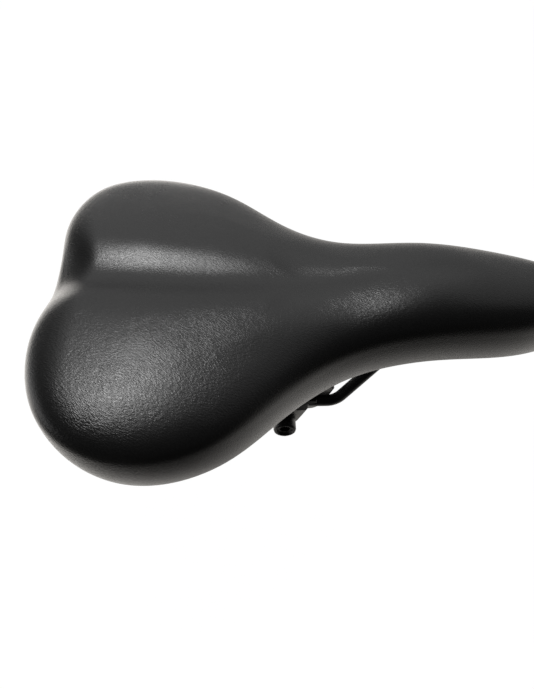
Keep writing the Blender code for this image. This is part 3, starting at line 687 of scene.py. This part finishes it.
def rod_ring(centre, tangent, radius):
    side = np.array([0.0, 1.0, 0.0])
    side -= tangent * (side @ tangent)
    side /= np.linalg.norm(side)
    other = np.cross(tangent, side)
    angles = [2 * math.pi * i / ROD_SIDES for i in range(ROD_SIDES)]
    return [centre + radius * (side * math.cos(a) + other * math.sin(a)) for a in angles]


def rod(path, radius):
    """A round rod along the path, with rounded end edges."""
    path = np.array(path)
    tangents = np.gradient(path, axis=0)
    tangents /= np.linalg.norm(tangents, axis=1)[:, None]
    rounding = []  # distance in from the end, radius
    for k in range(CHAMFER_STEPS + 1):
        a = math.pi / 2 * k / CHAMFER_STEPS
        setback = ROD_CHAMFER * (1 - math.cos(a))
        rounding.append((setback, radius - ROD_CHAMFER * (1 - math.sin(a))))
    first, last = tangents[0], tangents[-1]
    rings = [rod_ring(path[0] + first * d, first, r) for d, r in rounding]
    rings += [rod_ring(p, t, radius) for p, t in zip(path[1:-1], tangents[1:-1])]
    rings += [rod_ring(path[-1] - last * d, last, r) for d, r in rounding[::-1]]
    n = ROD_SIDES
    verts = [point for ring in rings for point in ring]
    faces = []
    for k in range(0, len(verts) - n, n):
        for i in range(n):
            j = (i + 1) % n
            faces.append((k + i, k + j, k + n + j, k + n + i))
    faces += [tuple(range(n)), tuple(range(len(verts) - n, len(verts)))]
    return verts, faces


for sign, side in ((1, "left"), (-1, "right")):
    path = bent([(x, sign * y, z) for x, y, z in RAIL_PATH], BEND_R)
    rail = add_mesh(f"rail_rod_{side}", *rod(path, RAIL_R), PAINT, sharp=50)
    register(rail, f"rail_{side}")

# ---------------------------------------------------------------- finishes of the CAD pieces
# start of the piece's name: material, bevel width (mm) or None
FINISH = {
    "base_shell": (PLASTIC, None),
    "post_band": (PLATED, 0.3),
    "inner_plate": (CAST, 0.35),
    "outer_plate": (JAW, 0.3),
    "clamp_nut": (OXIDE, 0.3),
    "washer": (OXIDE, 0.15),
    "clamp_bolt": (OXIDE, 0.15),
    "staple": (WIRE, None),
}


def finish_piece(piece, material, bevel_width):
    for slot in piece.material_slots:
        slot.material = material
    if not piece.material_slots:
        piece.data.materials.append(material)
    piece.data.shade_smooth()
    piece.data.set_sharp_from_angle(angle=math.radians(30))
    weld = piece.modifiers.new("weld", "WELD")
    weld.merge_threshold = 2e-6
    if bevel_width:
        bevel = piece.modifiers.new("edges", "BEVEL")
        bevel.width = bevel_width * MM
        bevel.segments = 2
        bevel.limit_method = "ANGLE"
        bevel.angle_limit = math.radians(38)
        bevel.use_clamp_overlap = True


for name, piece in nodes.items():
    for start, finish in FINISH.items():
        if name.startswith(start):
            finish_piece(piece, *finish)

# ---------------------------------------------------------------- floor (m)
FLOOR_Z, FLOOR_REACH = -0.062, 6.0


def floor_white():
    """White to the camera; as a light, brighter to the left (+Y) and towards the tail."""
    s = Look("floor_white")
    seen = s.node("ShaderNodeLightPath").outputs["Is Camera Ray"]
    place = s.axes()
    leftwards = s.remap(place["Y"], span=(-0.2, 0.04), to=(0.03, 1.35))
    tailwards = s.remap(place["X"], span=(-0.13, -0.04), to=(1.6, 0.7))
    glow = s.times(s.times(leftwards, tailwards), s.minus(1.0, seen))
    tone = s.noise(scale=2.0, detail=2.0).outputs["Fac"]
    s.surface({
        "Base Color": s.colours(tone, low=(0.02, 0.02, 0.02), high=(0.024, 0.024, 0.024)),
        "Roughness": 1.0,
        "Specular IOR Level": 0.0,
        "Emission Color": s.colours(seen, low=(1.0, 0.965, 0.92), high=(1.0, 1.0, 1.0)),
        "Emission Strength": s.plus(glow, seen),
    })
    # clear from underneath, so that the object can be looked at from below
    clear = s.node("ShaderNodeBsdfTransparent").outputs["BSDF"]
    from_below = s.node("ShaderNodeNewGeometry").outputs["Backfacing"]
    either = {"Fac": from_below, 1: s.bsdf.outputs["BSDF"], 2: clear}
    shader = s.node("ShaderNodeMixShader", either).outputs["Shader"]
    s.feed(s.tree.nodes["Material Output"], {"Surface": shader})
    return s.material


floor_mesh = bpy.data.meshes.new("floor")
signs = [(-1, -1), (1, -1), (1, 1), (-1, 1)]
corners = [(x * FLOOR_REACH, y * FLOOR_REACH, FLOOR_Z) for x, y in signs]
floor_mesh.from_pydata(corners, [], [(0, 1, 2, 3)])
floor = bpy.data.objects.new("floor", floor_mesh)
bpy.context.scene.collection.objects.link(floor)
floor_mesh.materials.append(floor_white())


# ---------------------------------------------------------------- light
def studio():
    """White to the eye; as light, bright behind the object (+Y) and dark on the camera's side."""
    world = bpy.data.worlds.new("studio")
    bpy.context.scene.world = world
    world.use_nodes = True
    s = Shader(world.node_tree, "Generated")
    place = s.axes()

    def ramp(value, span, to):
        return s.remap(value, span, to, kind="SMOOTHSTEP")

    x, y = place["X"], place["Y"]
    skewed = s.plus(y, ramp(x, span=(0.25, 0.65), to=(0.0, 0.35)))
    behind = ramp(skewed, span=(0.08, 0.56), to=(0.0, 1.0))
    behind = s.times(behind, ramp(y, span=(0.7, 1.0), to=(1.0, 0.5)))
    behind = s.times(behind, ramp(x, span=(-0.65, -0.25), to=(0.15, 1.0)))
    behind = s.times(behind, ramp(x, span=(0.0, 0.8), to=(1.0, 0.35)))
    light = s.plus(s.times(behind, 0.9), 0.035)
    # a bright patch straight beyond the tail
    light = s.math("MAXIMUM", light, ramp(x, span=(-0.98, -0.8), to=(1.2, 0.0)))
    seen = s.node("ShaderNodeLightPath").outputs["Is Camera Ray"]
    pick = s.node("ShaderNodeMix", data_type="FLOAT", inputs={"Factor": seen, "A": light, "B": 1.0})
    background = {"Color": (1, 1, 1, 1), "Strength": pick.outputs["Result"]}
    s.feed(s.tree.nodes["Background"], background)


def overhead_light():
    lamp = bpy.data.lights.new("overhead", "AREA")
    lamp.shape = "RECTANGLE"
    lamp.size, lamp.size_y = 0.2, 0.11
    lamp.energy = 3.8
    ob = bpy.data.objects.new("overhead", lamp)
    bpy.context.scene.collection.objects.link(ob)
    place, aim = Vector((-0.179, 0.15, 1.093)), Vector((-0.065, 0, 0.093))
    ob.location = place
    ob.rotation_mode = "QUATERNION"
    ob.rotation_quaternion = (aim - place).to_track_quat("-Z", "Y")


studio()
overhead_light()

# ---------------------------------------------------------------- camera
AZIMUTH, ELEVATION, ROLL = math.radians(-0.5), math.radians(50.0), math.radians(-0.6)
TARGET = Vector((-29.23, -25.19, 81.26)) * MM
DISTANCE = 288.0 * MM
backward = Vector((
    math.sin(AZIMUTH) * math.cos(ELEVATION),
    -math.cos(AZIMUTH) * math.cos(ELEVATION),
    math.sin(ELEVATION),
))
level_right = Vector((math.cos(AZIMUTH), math.sin(AZIMUTH), 0))
level_up = backward.cross(level_right)
right = level_right * math.cos(ROLL) + level_up * math.sin(ROLL)
up = -level_right * math.sin(ROLL) + level_up * math.cos(ROLL)
lens = bpy.data.cameras.new("camera")
camera = bpy.data.objects.new("camera", lens)
bpy.context.scene.collection.objects.link(camera)
pose = Matrix((right, up, backward)).transposed().to_4x4()
pose.translation = TARGET + backward * DISTANCE
camera.matrix_world = pose
lens.sensor_width = 36.0
lens.lens = 28.543977
lens.clip_start, lens.clip_end = 0.01, 30.0
bpy.context.scene.camera = camera
bpy.context.scene.view_settings.view_transform = "Standard"
